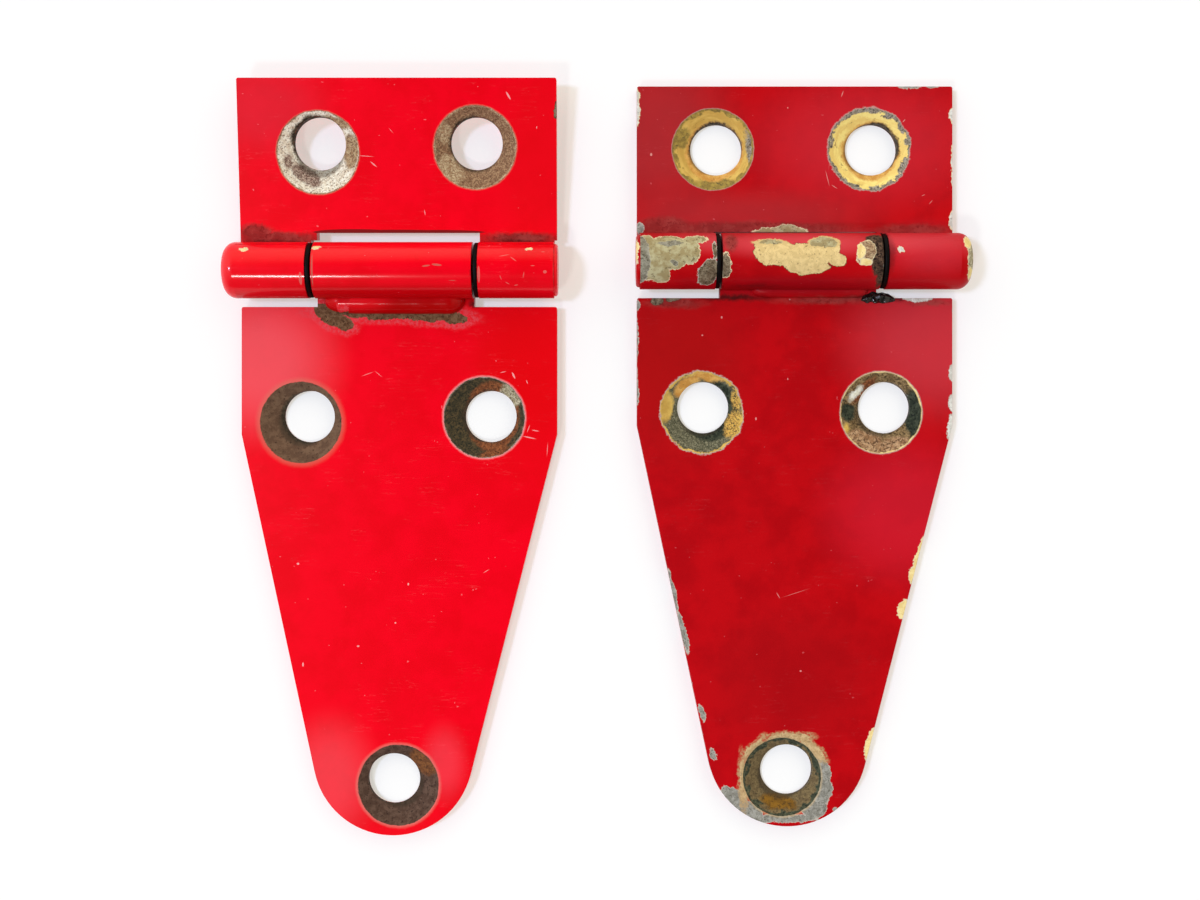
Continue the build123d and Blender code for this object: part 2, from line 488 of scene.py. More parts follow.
def tinted_paint(nodes, place, film, paint, tints):
    """Colour and dullness of the paint itself: its clouds, wide soft tints and scuffs. Some tints are painted
    sheen, others painted shade
    """
    colour = nodes.mix(film["Cloud"], paint.red, paint.shade)
    dull = 0.0
    for patch, tone, strength in tints:
        depth = deepest(nodes, place, [patch], leaf_marks)
        soft_edge = 0.8 * min(patch.half_x, patch.half_y)
        mask = nodes.step(depth, 0.0, soft_edge, 0.0, strength)
        colour = nodes.mix(mask, colour, tone)
        dull = nodes.math("MAXIMUM", dull, mask)
    colour = nodes.mix(film["Scuffing"], colour, paint.scuffed)
    return colour, nodes.math("ADD", nodes.math("MULTIPLY", dull, 0.25), film["Scuffing"])


def scratched_dirty_and_painted_light(nodes, place, torn, wear_and_light, colour, dull):
    """Adds the marks, which are sharp: scratches, and a few lines of painted shade and highlight; and the
    dirt, which is ragged and mottled, in places painted shade
    """
    for patches, surface_kind, tone, strength in wear_and_light.marks:
        mask = nodes.step(deepest(nodes, place, patches, surface_kind), 0.0, 0.07, 0.0, strength)
        colour = nodes.mix(mask, colour, tone)
        dull = nodes.math("MAXIMUM", dull, nodes.math("MULTIPLY", mask, 0.35))
    for patches, surface_kind, tones, strength in wear_and_light.grime_and_shade:
        mask = nodes.step(deepest(nodes, torn, patches, surface_kind), -0.3, 0.8, 0.0, strength)
        colour = nodes.mix(mask, colour, mottled(nodes, torn, tones))
        dull = nodes.math("MAXIMUM", dull, nodes.math("MULTIPLY", mask, 0.4))
    return colour, dull


def chipped(nodes, place, torn, chips, colour, height):
    """Adds the bare places, each with a band where the torn paint ends. In a wide band the paint lies in
    flakes that stand up"""
    bare = far_outside
    for chip in chips:
        depth = deepest(nodes, torn, chip.patches, chip.surface)
        parts = nodes.group(chip_rim, {"Depth": depth, "Rim Width": chip.rim_width})
        rim = parts["Rim"]
        if chip.rim_width > widest_plain_rim:
            flakes = nodes.group(torn_flakes, {"Position": place, "Band": rim})
            rim = flakes["Mask"]
            height = nodes.math("ADD", height, flakes["Height"])
        colour = nodes.mix(rim, colour, chip.rim)
        colour = nodes.mix(parts["Bare"], colour, mottled(nodes, torn, chip.tones))
        bare = nodes.math("MAXIMUM", bare, depth)
    return colour, height, bare


def sunk(nodes, place, torn, sinks, colour, bare):
    """Adds the bare countersinks. They are open upwards, so that the underside has none"""
    above_table = nodes.add("ShaderNodeSeparateXYZ", {0: place}).outputs["Z"]
    not_under = nodes.step(above_table, 0.02, 0.12, far_outside, -far_outside)
    frayed = nodes.group(ragged_outline, {"Position": place, "Broad": 0.35, "Fine": 0.2})["Position"]
    for sink in sinks:
        outline = torn if sink.ragged else frayed
        depth = deepest(nodes, outline, [Patch(sink.x, sink.y, sink.radius, sink.radius)], leaf_marks)
        depth = nodes.math("MINIMUM", depth, not_under)
        feeds = {
            "Position": place,
            "Depth": depth,
            "Above Table": above_table,
            "Halo Width": sink.halo_width,
            "Halo Share": sink.halo_share,
            "Band Width": sink.band_width,
        }
        parts = nodes.group(sink_rim, feeds)
        colour = nodes.mix(parts["Halo"], colour, sink.halo)
        where = outline
        if sink.turned:
            feeds = {"Position": outline, "Centre": (sink.x, sink.y, 0)}
            where = nodes.group(around_hole, feeds)["Along"]
        cone = mottled(nodes, where, sink.tones)
        for zone in sink.zones:
            within = nodes.step(deepest(nodes, torn, zone.patches, sink_marks), -0.25, 0.45)
            cone = nodes.mix(within, cone, mottled(nodes, torn, zone.tones))
        cone = nodes.mix(parts["Band"], cone, mottled(nodes, outline, sink.band))
        cone = nodes.mix(parts["Wall"], cone, bore_shade)
        colour = nodes.mix(parts["Bare"], colour, cone)
        bare = nodes.math("MAXIMUM", bare, depth)
    return colour, bare


def make_paint_with_wear_and_light(name, axis, fold, paint, wear_and_light):
    """Red paint with its dull places, scratches, dirt, chips and bare countersinks, and the shade, sheen and
    highlights painted on it
    """
    material, nodes, surface = new_material(name)
    place = leaf_position(nodes, axis, fold)
    torn = nodes.group(ragged_outline, {"Position": place, "Broad": 1.3, "Fine": 0.75})["Position"]
    film = nodes.group(paint_film, {"Position": place})
    metal = nodes.group(bare_metal, {"Position": place})

    colour, dull = tinted_paint(nodes, place, film, paint, wear_and_light.tints)
    colour, dull = scratched_dirty_and_painted_light(nodes, place, torn, wear_and_light, colour, dull)
    colour, height, bare = chipped(nodes, place, torn, wear_and_light.chips, colour, film["Height"])
    if wear_and_light.sinks:
        colour, bare = sunk(nodes, place, torn, wear_and_light.sinks, colour, bare)

    # Paint is worn through along the sharp edges here and there
    edge = nodes.add("ShaderNodeAttribute", attribute_name="edge", attribute_type="GEOMETRY").outputs["Fac"]
    worn = nodes.group(edge_wear, {"Position": torn, "Edge": edge, "Share": paint.edge_wear})["Mask"]
    colour = nodes.mix(worn, colour, mottled(nodes, torn, paint.edge_tones))
    gone = nodes.math("MAXIMUM", nodes.step(bare, -0.03, 0.05), worn)

    # Paint shines through its coat, less so where it is dull, and bare metal has none
    nodes.feed(surface.inputs["Base Color"], colour)
    roughness = nodes.mix(gone, nodes.math("ADD", dull, paint.roughness), metal["Roughness"])
    nodes.feed(surface.inputs["Roughness"], roughness)
    surface.inputs["Specular IOR Level"].default_value = paint.gloss
    no_shine = nodes.math("MAXIMUM", gone, nodes.math("MULTIPLY", dull, 2.5))
    nodes.feed(surface.inputs["Coat Weight"], nodes.step(no_shine, 0.0, 1.0, paint.coat, 0.0))
    surface.inputs["Coat Roughness"].default_value = paint.coat_roughness

    # Peel and flakes of the paint, and the metal's grain
    smooth = nodes.add("ShaderNodeBump", {"Strength": 0.7, "Distance": 0.12 * mm, "Height": height})
    feeds = {"Strength": 0.6, "Distance": 0.08 * mm, "Height": metal["Height"]}
    grainy = nodes.add("ShaderNodeBump", feeds)
    normal = nodes.add("ShaderNodeMix", data_type="VECTOR")
    nodes.feed(normal.inputs["Factor"], gone)
    nodes.feed(normal.inputs[4], smooth.outputs[0])
    nodes.feed(normal.inputs[5], grainy.outputs[0])
    nodes.feed(surface.inputs["Normal"], normal.outputs[1])
    return material


def make_leaf_paints(name, axis, fold, paint, wear_and_light):
    """A leaf's two materials: the worn paint of its plate and of its barrel"""
    plate = make_paint_with_wear_and_light(name + "_plate_paint", axis, fold, paint, wear_and_light_on(wear_and_light, False))
    barrel = make_paint_with_wear_and_light(name + "_barrel_paint", axis, fold, paint, wear_and_light_on(wear_and_light, True))
    return plate, barrel


# Geometry

# Meshes: points that are one, the steps inside one flat face, the edges that are rounded, and the
# creases that stay sharp in the shading
same_place = 0.001 * mm
flat_angle = radians(0.6)
sharp_angle = radians(30)
crease_angle = radians(50)
tube_crease_angle = radians(40)

# Pins: the head, its round, the shank, and the peened end as steps beyond its start with their radii
head_thickness = 2.7
head_round = 2.4
head_round_steps = 10
shank_radius = 2.38
peened_start = 0.5 - half_width
peened_steps = ((0.0, 5.2), (0.35, 5.2), (0.6, 5.08), (0.76, 4.75), (0.8, 4.2), (0.8, 0.6))

# Weld beads: how far from the pin's middle a bead's middle lies at least, the radius of its tips, how far
# it stands over the solid's bead, which it covers, and the lengths over which it swells up at a plain
# end and at a drawn out one
bead_back = 5.07
bead_tip = 0.3
bead_cover = 0.03
bead_rise = 3.2
bead_long_rise = 8.5


def new_piece(name, mesh):
    piece = bpy.data.objects.new(name, mesh)
    bpy.context.scene.collection.objects.link(piece)
    return piece


def apply_modifiers(piece):
    """Replaces the piece's mesh by the one that its modifiers give"""
    bpy.context.view_layer.update()
    piece.data = bpy.data.meshes.new_from_object(piece.evaluated_get(bpy.context.evaluated_depsgraph_get()))
    piece.modifiers.clear()


def soften(node, name, outer_end):
    """Copy of a CAD leaf with its outer edges rounded, and the rounded strips marked as edge. The ring
    where the pin's painted head closes the barrel keeps its edge, so that no groove shows there. The
    barrel's faces take the second material"""
    axis = axis_of[name.split("_")[0]]
    mesh = bpy.data.meshes.new(name)
    shape = bmesh.new()
    shape.from_mesh(frame["nodes"][node].data)
    bmesh.ops.remove_doubles(shape, verts=shape.verts, dist=same_place)
    bmesh.ops.dissolve_limit(shape, angle_limit=flat_angle, verts=shape.verts, edges=shape.edges)
    mark = shape.faces.layers.float.new("edge")

    def near_barrel(point):
        from_axis = ((point.y - axis.y) ** 2 + (point.z - axis.z) ** 2) ** 0.5
        return from_axis < (barrel_radius + 0.1) * mm

    def at_head(vertex):
        return abs(vertex.co.x - outer_end) < 0.01 * mm and near_barrel(vertex.co)

    sharp = [
        e
        for e in shape.edges
        if len(e.link_faces) == 2
        and e.calc_face_angle_signed(0) > sharp_angle
        and not all(at_head(vertex) for vertex in e.verts)
    ]
    rounded = bmesh.ops.bevel(
        shape,
        geom=sharp,
        offset=edge_round * mm,
        offset_type="OFFSET",
        affect="EDGES",
        segments=2,
        profile=0.5,
        clamp_overlap=True,
        loop_slide=True,
    )
    for face in rounded["faces"]:
        face[mark] = 1.0
    for face in shape.faces:
        face.smooth = True
        face.material_index = int(near_barrel(face.calc_center_median()))
    for e in shape.edges:
        e.smooth = len(e.link_faces) == 2 and abs(e.calc_face_angle_signed(0)) < crease_angle
    shape.to_mesh(mesh)
    shape.free()
    piece = new_piece(name, mesh)
    even = piece.modifiers.new("even_normals", "WEIGHTED_NORMAL")
    even.keep_sharp = True
    apply_modifiers(piece)
    return piece


def tube_mesh(name, rings, turns):
    """Closed tube through rings of points, whose ends are drawn together to a point"""
    shape = bmesh.new()
    rows = [[shape.verts.new(point) for point in ring] for ring in rings]
    for first, second in zip(rows, rows[1:]):
        for i in range(turns):
            j = (i + 1) % turns
            shape.faces.new((first[i], first[j], second[j], second[i]))
    for row in (rows[0], rows[-1]):
        tip = shape.verts.new(sum((vertex.co for vertex in row), Vector()) / turns)
        for i in range(turns):
            shape.faces.new((row[i], row[(i + 1) % turns], tip))
    bmesh.ops.recalc_face_normals(shape, faces=shape.faces)
    for face in shape.faces:
        face.smooth = True
    for e in shape.edges:
        e.smooth = e.calc_face_angle(0) < tube_crease_angle
    mesh = bpy.data.meshes.new(name)
    shape.to_mesh(mesh)
    shape.free()
    return mesh


def ring(centre, radius, turns, height_share=1.0):
    """Points around a centre, in the plane across the pins"""
    angles = [2 * pi * i / turns for i in range(turns)]
    return [centre + radius * Vector((0, cos(a), height_share * sin(a))) for a in angles]


def turned_pin(name, axis, outer_side):
    """Headed pin as turned work: the head's round, the shank inside the knuckles and the peened end"""
    head_top = half_width + head_thickness
    profile = [(head_top, 0.6), (head_top - 0.02, 2.0)]
    for i in range(head_round_steps + 1):
        a = radians(90 * i / head_round_steps)
        profile.append((head_top - head_round * (1 - cos(a)), barrel_radius - head_round * (1 - sin(a))))
    profile += [(half_width, barrel_radius), (half_width, shank_radius), (peened_start, shank_radius)]
    profile += [(peened_start - beyond, radius) for beyond, radius in peened_steps]
    turns = 72
    rings = []
    for along, radius in profile:
        rings.append([point * mm + axis for point in ring(Vector((outer_side * along, 0, 0)), radius, turns)])
    return new_piece(name, tube_mesh(name, rings, turns))


def arch(share):
    """Quarter round: steep at share 0 and level at share 1"""
    return (1 - (1 - min(1.0, max(0.0, share))) ** 2) ** 0.5


def weld_bead(name, axis, outer_side, start, end, radius, waver, run_out):
    """Painted weld bead under the barrel: it swells quickly at its ends and is a little uneven. At its
    outer end a share of it, run_out, swells slowly, where the weld was drawn out"""
    middle_y = axis.y * per_mm - bead_back - radius / 3
    turns = 24
    rows = 60
    rings = []
    for row in range(rows + 1):
        x = start + (end - start) * row / rows
        quick = arch(min(x - start, end - x) / bead_rise)
        slow = arch(min((x - start) / bead_rise, (end - x) / bead_long_rise))
        size = bead_tip + (radius + bead_cover - bead_tip) * (quick + (slow - quick) * run_out)
        size *= 1 + waver * noise.noise(Vector((x * 0.35, 3.1, 0)))
        middle = Vector((axis.x * per_mm + outer_side * x, middle_y, plate_thickness))
        rings.append([point * mm for point in ring(middle, size, turns)])
    return new_piece(name, tube_mesh(name, rings, turns))


def grease_lump(name, axis):
    """Black lump pressed out of the outer gap of the right barrel, with a tail along the strap's edge"""
    start = Vector((13.4, -7.1, 3.0 - barrel_radius))
    length = 12.6
    body_middle, body_half, body_radius = 3.4, 3.5, 1.15
    tail_radius, thinnest = 0.32, 0.04
    turns = 18
    rows = 70
    rings = []
    for row in range(rows + 1):
        share = row / rows
        along = length * share
        body = max(0.0, 1 - ((along - body_middle) / body_half) ** 2) ** 0.5
        tail = max(0.0, 1 - share) ** 0.5
        size = max(thinnest, body_radius * body, tail_radius * tail * min(1.0, 4 * share))
        middle = start + Vector((along, -0.5 * (1 - body), 0))
        points = []
        for point in ring(middle, size, turns, 0.8):
            away = (point - middle) / size
            knobs = noise.noise(Vector((along * 0.9, 1.4 * away.y, 1.4 * away.z / 0.8)))
            points.append((middle + (point - middle) * (1 + 0.45 * knobs)) * mm + axis)
        rings.append(points)
    return new_piece(name, tube_mesh(name, rings, turns))


def make_washer_tree():
    """Rubber rings, one at each point of the mesh that they are given: a rounded section swept around
    the pin and pressed a little out of true"""
    names = ("Outer Radius", "Bore Radius", "Thickness", "Rounding", "Squeeze")
    sizes = {name: "Float" for name in names}
    inputs = {"Places": "Geometry", **sizes, "Seed": "Float", "Rubber": "Material"}
    nodes, given, out = new_group("rubber_washer_rings", inputs, {"Rings": "Geometry"}, "GeometryNodeTree")
    width = nodes.math("SUBTRACT", given["Outer Radius"], given["Bore Radius"])
    middle = nodes.math("MULTIPLY", nodes.math("ADD", given["Outer Radius"], given["Bore Radius"]), 0.5)
    feeds = {"Resolution": 72, "Radius": middle}
    circle = nodes.add("GeometryNodeCurvePrimitiveCircle", feeds).outputs[0]
    feeds = {"Width": width, "Height": given["Thickness"]}
    section = nodes.add("GeometryNodeCurvePrimitiveQuadrilateral", feeds).outputs[0]
    feeds = {"Curve": section, "Count": 3, "Radius": given["Rounding"]}
    rounded = nodes.add("GeometryNodeFilletCurve", feeds, mode="POLY").outputs[0]
    feeds = {"Curve": circle, "Profile Curve": rounded}
    swept = nodes.add("GeometryNodeCurveToMesh", feeds).outputs[0]
    feeds = {"Geometry": swept, "Rotation": (0, radians(90), 0)}
    standing = nodes.add("GeometryNodeTransform", feeds).outputs[0]
    feeds = {"Points": given["Places"], "Instance": standing}
    placed = nodes.add("GeometryNodeInstanceOnPoints", feeds).outputs[0]
    rings = nodes.add("GeometryNodeRealizeInstances", {0: placed}).outputs[0]
    feeds = {"W": given["Seed"], "Scale": 420.0, "Detail": 2.0}
    press = nodes.add("ShaderNodeTexNoise", feeds, noise_dimensions="4D").outputs["Fac"]
    push = nodes.math("MULTIPLY", nodes.math("SUBTRACT", press, 0.5), given["Squeeze"])
    normal = nodes.add("GeometryNodeInputNormal").outputs[0]
    feeds = {"Geometry": rings, "Offset": nodes.scale(normal, push)}
    pressed = nodes.add("GeometryNodeSetPosition", feeds).outputs[0]
    smooth = nodes.add("GeometryNodeSetShadeSmooth", {0: pressed}).outputs[0]
    feeds = {"Geometry": smooth, "Material": given["Rubber"]}
    nodes.feed(out["Rings"], nodes.add("GeometryNodeSetMaterial", feeds).outputs[0])
    return nodes.tree


def rubber_washers(rubber):
    """The four black washers in the gaps between the knuckles, as one mesh"""
    washer_nodes = [side + "_" + end + "_washer" for side in ("left", "right") for end in ("inner", "outer")]
    centres = [sum(map(Vector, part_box(node)), Vector()) / 2 for node in washer_nodes]
    places = bpy.data.meshes.new("rubber_washers")
    places.from_pydata(centres, [], [])
    piece = new_piece("rubber_washers", places)
    sweep = piece.modifiers.new("rubber_washer_rings", "NODES")
    sweep.node_group = make_washer_tree()
    values = {
        "Outer Radius": 5.45 * mm,
        "Bore Radius": 2.5 * mm,
        "Thickness": 0.9 * mm,
        "Rounding": 0.25 * mm,
        "Squeeze": 0.12 * mm,
        "Seed": 4.0,
        "Rubber": rubber,
    }
    for item in sweep.node_group.interface.items_tree:
        if item.in_out == "INPUT" and item.name in values:
            sweep[item.identifier] = values[item.name]
    apply_modifiers(piece)
    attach(piece, "cowl_side")
    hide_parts(*washer_nodes)


# Tones of bare metal, primer, rust and dirt, and some of painted shade

cream = Tones((232, 204, 142), (214, 186, 126), (132, 104, 64), 1.0, 0.37)
yellow_cream = Tones((244, 222, 156), (228, 200, 130), (176, 140, 84), 1.2, 0.32)
olive = Tones((186, 178, 138), (158, 142, 100), (112, 98, 70), 1.8, 0.4)
steel = Tones((158, 154, 136), (126, 120, 102), (84, 78, 64), 1.2, 0.42)
zinc = Tones((164, 162, 152), (132, 130, 120), (92, 88, 76), 0.9, 0.42)
pale_zinc = Tones((226, 224, 214), (196, 192, 180), (140, 134, 122), 0.9, 0.36)
bare_brown = Tones((122, 92, 66), (96, 66, 44), (62, 42, 28), 1.1, 0.42)
crevice_brown = Tones((142, 128, 104), (104, 88, 68), (58, 46, 36), 1.0, 0.44)
# Dusty red dirt; along the cowl leaves' barrels it is also painted shade
dusty_red_and_shade = Tones((150, 66, 60), (126, 46, 42), (92, 34, 30), 2.2, 0.42)
# Black grease; in the creases under the barrels and at the ends of the left weld bead it is painted shade
black_grease_and_shade = Tones((30, 22, 20), (20, 14, 13), (8, 6, 6), 1.4, 0.4)

silver = Tones((246, 240, 222), (222, 208, 184), (124, 98, 80), 0.8, 0.43)
silver_brown = Tones((196, 172, 134), (156, 124, 92), (104, 76, 58), 0.8, 0.46)
purple_brown = Tones((206, 184, 164), (142, 114, 100), (88, 64, 56), 0.6, 0.5)
tan_rust = Tones((172, 138, 104), (132, 98, 74), (98, 68, 50), 0.6, 0.46)
sand_grain = Tones((206, 184, 148), (160, 128, 96), (112, 82, 60), 0.5, 0.44)
dark_brown = Tones((118, 92, 72), (98, 74, 58), (70, 52, 42), 1.6, 0.38)
green_black = Tones((92, 78, 54), (66, 60, 44), (40, 42, 36), 0.9, 0.46)
rust = Tones((150, 92, 56), (112, 66, 42), (70, 44, 32), 0.8, 0.44)
worn_silver = Tones((206, 196, 166), (160, 148, 116), (92, 80, 58), 0.7, 0.46)
nose_grey = Tones((100, 78, 66), (80, 60, 50), (56, 42, 36), 1.3, 0.4)
nose_rust = Tones((136, 88, 52), (108, 68, 44), (70, 48, 36), 1.0, 0.42)
gold = Tones((222, 186, 98), (202, 162, 80), (164, 130, 66), 2.2, 0.34)
orange_gold = Tones((226, 176, 96), (204, 146, 70), (150, 104, 56), 1.6, 0.34)
gold_speck = Tones((226, 184, 92), (198, 154, 76), (58, 54, 42), 0.8, 0.47)
olive_gold = Tones((176, 150, 74), (140, 118, 62), (104, 92, 58), 1.5, 0.4)
grey_speck = Tones((172, 164, 148), (136, 126, 108), (62, 56, 48), 0.8, 0.45)
cream_gold = Tones((250, 228, 138), (236, 204, 116), (172, 142, 84), 1.8, 0.36)
spark_grey = Tones((148, 144, 116), (96, 94, 72), (54, 56, 46), 0.45, 0.48)
bottle_black = Tones((70, 76, 60), (44, 50, 40), (24, 28, 24), 1.2, 0.44)
brown_crack = Tones((196, 160, 122), (156, 118, 84), (86, 62, 44), 1.1, 0.46)
white_flake = Tones((250, 250, 236), (228, 224, 200), (150, 140, 110), 1.4, 0.34)
olive_cone = Tones((128, 110, 76), (104, 88, 62), (76, 66, 48), 0.8, 0.42)
ochre = Tones((140, 100, 36), (116, 82, 32), (82, 62, 32), 1.4, 0.44)
brown_olive = Tones((158, 132, 92), (116, 94, 62), (62, 50, 36), 1.0, 0.46)
burnt = Tones((108, 84, 66), (68, 50, 40), (30, 22, 20), 1.0, 0.48)
hole_shade = Tones((92, 80, 64), (56, 48, 40), (32, 28, 24), 0.8, 0.42)
ring_grey = Tones((88, 92, 72), (62, 66, 52), (38, 42, 34), 1.0, 0.44)
dusty_cream = Tones((206, 178, 132), (182, 152, 108), (132, 104, 72), 0.9, 0.4)

bore_shade = screen(58, 50, 40)
pale_pink = screen(244, 176, 176)
torn_pink = screen(226, 72, 80)
sand_pink = screen(206, 120, 100)
cream_rim = screen(224, 208, 168)
grey_rim = screen(186, 178, 164)
dark_rim = screen(92, 50, 40)

# The two paints

left_paint = Paint(
    red=screen(243, 0, 26),
    shade=screen(233, 0, 20),
    scuffed=screen(242, 120, 126),
    gloss=0.03,
    roughness=0.3,
    coat=0.5,
    coat_roughness=0.12,
    edge_tones=Tones((186, 40, 44), (120, 18, 22), (64, 12, 14), 1.0, 0.44),
    edge_wear=0.5,
)
bead_paint = replace(left_paint, roughness=0.2, coat=0.6, coat_roughness=0.14)
right_paint = Paint(
    red=screen(188, 2, 12),
    shade=screen(172, 0, 9),
    scuffed=screen(206, 90, 94),
    gloss=0.05,
    roughness=0.42,
    coat=0.12,
    coat_roughness=0.25,
    edge_tones=zinc,
    edge_wear=0.38,
)


def gap_grime(*places):
    """Black grease on the faces of the knuckles in the gaps at these places along the pin"""
    return ([Patch(x, 0, 0.82, 9.0) for x in places], ring_marks, black_grease_and_shade, 1.0)


left_cowl_wear_and_light = WearAndLight(
    tints=[
        # Painted sheen: a pale pink reflection over the upper left of the leaf
        (Patch(-26, 32, 16, 12), screen(214, 40, 56), 0.5),
        (Patch(28, 20, 14, 30), screen(226, 2, 14), 0.6),
        # Painted shade along the lower side of the barrel
        (Patch(0, -5.6, 60, 3.0), screen(178, 0, 4), 0.75),
    ],
    marks=[
        ([
            Patch(-6.4, 22.6, 2.1, 0.09, -4), Patch(-4.8, 21.0, 1.0, 0.14, -40),
            Patch(22.2, 34.4, 0.2, 1.0, 30), Patch(5.3, 11.5, 0.1, 0.7, 8),
            Patch(-1.2, 27.6, 0.9, 0.07, -50), Patch(27.8, 28.2, 0.12, 0.3),
        ], flat_marks, pale_pink, 0.8),
        ([
            Patch(21.6, 2.9, 1.3, 0.12, 10), Patch(23.4, 2.2, 0.9, 0.14, -35),
            Patch(20.9, -1.4, 0.12, 0.6, 20), Patch(22.2, -2.5, 0.6, 0.12, -30),
            Patch(23.9, -2.9, 0.5, 0.14, 10), Patch(25.4, -0.9, 0.12, 0.8, -10),
            Patch(27.2, 0.9, 0.5, 0.12), Patch(29.6, -0.3, 0.4, 0.35), Patch(29.2, 3.6, 0.5, 0.12),
            Patch(16.6, -0.8, 0.3, 1.8), Patch(-18.4, -1.6, 0.35, 1.4),
        ], barrel_marks, screen(222, 112, 104), 0.7),
        # Painted highlight: a pale line around the rim of the barrel's inner end
        ([Patch(31.5, 0.0, 0.35, 5.2)], barrel_marks, screen(206, 120, 112), 0.55),
        # Painted shade: a dark line along the far edge of the slot
        ([
            Patch(-9.0, 7.6, 8.6, 0.62), Patch(0.0, 7.6, 12.0, 0.5), Patch(8.0, 7.6, 10.0, 0.46),
        ], flat_marks, screen(84, 24, 22), 0.85),
    ],
    grime_and_shade=[
        # Dusty dirt above the barrel, darkened further as painted shade and a painted reflection of the
        # barrel
        ([Patch(-24.5, 6.4, 9.5, 1.5), Patch(-28.5, 7.6, 3.6, 1.9)], flat_marks, dusty_red_and_shade, 0.85),
        ([Patch(24.5, 6.4, 9.0, 1.3)], flat_marks, dusty_red_and_shade, 0.9),
        # Painted shade: dark lines in the crease where the barrel overhangs the leaf
        ([Patch(-24, 5.3, 12, 0.8), Patch(24, 5.3, 12, 0.8)], flat_marks, black_grease_and_shade, 0.8),
        gap_grime(-17.05, 15.65),
    ],
    chips=[
        Chip([Patch(31.9, 31.6, 0.6, 1.5)], flat_marks, crevice_brown, dark_rim),
        Chip([
            Patch(-29.7, 4.1, 0.75, 0.25), Patch(26.4, 4.1, 0.7, 0.25),
        ], barrel_marks, yellow_cream, cream_rim),
    ],
    sinks=[
        Sink(
            -15.85, 23.3, 8.25, False, silver, silver_brown, 0.3, sand_pink, 0.3, 0.7,
            zones=[
                Zone([Patch(-9.4, 23.5, 1.9, 3.8), Patch(-12.0, 29.2, 3.0, 1.2, -20)], silver_brown),
                Zone([Patch(-18.6, 18.9, 3.8, 1.6, -35), Patch(-22.0, 21.6, 1.0, 1.6)], purple_brown),
                Zone([Patch(-16.2, 25.6, 5.35, 5.35)], hole_shade),
            ],
        ),
        Sink(
            15.5, 24.3, 8.25, False, tan_rust, sand_grain, 0.4, sand_pink, 0.35, 0.7,
            zones=[
                Zone([Patch(10.6, 20.0, 2.2, 3.4, 30), Patch(9.4, 27.0, 1.4, 2.4)], sand_grain),
                Zone([Patch(15.4, 25.4, 5.3, 5.3)], hole_shade),
            ],
        ),
    ],
)
left_strap_wear_and_light = WearAndLight(
    tints=[
        # Painted sheen: the pale pink tints at the upper left and at the nose are reflections
        (Patch(-28, -18, 20, 20), screen(238, 104, 112), 0.55),
        (Patch(-14, -102, 12, 16), screen(240, 104, 114), 0.3),
        (Patch(26, -20, 18, 34), screen(224, 0, 6), 0.8),
        (Patch(9, -99, 6, 10), screen(238, 90, 104), 0.3),
        # Painted shade along the lower side of the barrel
        (Patch(0, -5.2, 60, 2.4), screen(178, 0, 4), 0.75),
    ],
    marks=[
        ([
            Patch(-6.4, -20.6, 1.6, 0.08, 20), Patch(-4.2, -20.6, 1.2, 0.08, -40),
            Patch(20.9, -20.2, 0.8, 0.1, 12), Patch(23.0, -20.9, 0.2, 0.8, 25),
            Patch(25.7, -22.2, 0.12, 0.5, 20), Patch(26.0, -31.6, 0.1, 1.0, -20),
            Patch(27.4, -32.0, 0.9, 0.12, -10), Patch(26.2, -33.4, 1.6, 0.14, -12),
            Patch(29.8, -35.8, 0.08, 1.8, -4), Patch(17.5, -60.3, 0.9, 0.09, 30),
            Patch(-20.4, -58.8, 0.3, 0.25), Patch(1.8, -62.9, 0.2, 0.3), Patch(-8.3, -75.4, 0.3, 0.2),
            Patch(-0.8, -70.7, 0.2, 0.2), Patch(-19.4, -79.1, 0.2, 0.5),
        ], flat_marks, pale_pink, 0.8),
        ([
            Patch(16.0, -0.9, 0.25, 1.6), Patch(-16.1, -0.6, 0.22, 3.6), Patch(6.3, 0.2, 0.9, 0.2, 8),
            Patch(8.4, 0.4, 1.1, 0.25, -6), Patch(11.4, -2.6, 1.0, 0.1),
        ], barrel_marks, screen(196, 96, 84), 0.85),
    ],
    grime_and_shade=[
        gap_grime(-17.05, 15.65),
        # Painted shade at both ends of the weld bead, where it meets the strap
        ([Patch(15.2, -6.6, 1.4, 0.8), Patch(-15.0, -6.2, 0.8, 0.6)], flat_marks, black_grease_and_shade, 0.9),
    ],
    chips=[
        Chip([
            Patch(-14.0, -8.7, 3.6, 1.9, -32), Patch(-10.9, -10.4, 1.8, 1.4, -20),
            Patch(-3.0, -8.1, 9.8, 1.5), Patch(5.0, -8.7, 6.2, 1.3, -4), Patch(11.2, -9.4, 2.6, 1.15),
        ], flat_marks, bare_brown, torn_pink, 1.5),
        Chip([Patch(-15.6, 4.1, 0.8, 0.3)], barrel_marks, yellow_cream, cream_rim),
    ],
    sinks=[
        Sink(
            -19.85, -30.35, 8.2, False, dark_brown, dark_brown, 0.2, sand_pink, 1.3, 0.45,
            zones=[Zone([Patch(-18.8, -29.3, 5.5, 5.4)], hole_shade)],
        ),
        Sink(
            17.1, -29.35, 8.2, False, green_black, grey_speck, 0.25, pale_pink, 0.5, 0.6,
            zones=[
                Zone([Patch(18.6, -29.0, 5.6, 7.2), Patch(19.0, -36.5, 3.4, 1.2, 20)], rust),
                Zone([Patch(22.3, -25.0, 2.0, 2.6, 35)], worn_silver),
                Zone([Patch(18.1, -29.2, 5.3, 5.4)], hole_shade),
            ],
        ),
        Sink(
            -0.2, -103.4, 8.15, False, nose_grey, nose_grey, 0.2, screen(222, 120, 110), 0.8, 0.7,
            zones=[Zone([Patch(4.8, -98.6, 3.4, 2.6, -45)], nose_rust)],
        ),
    ],
)
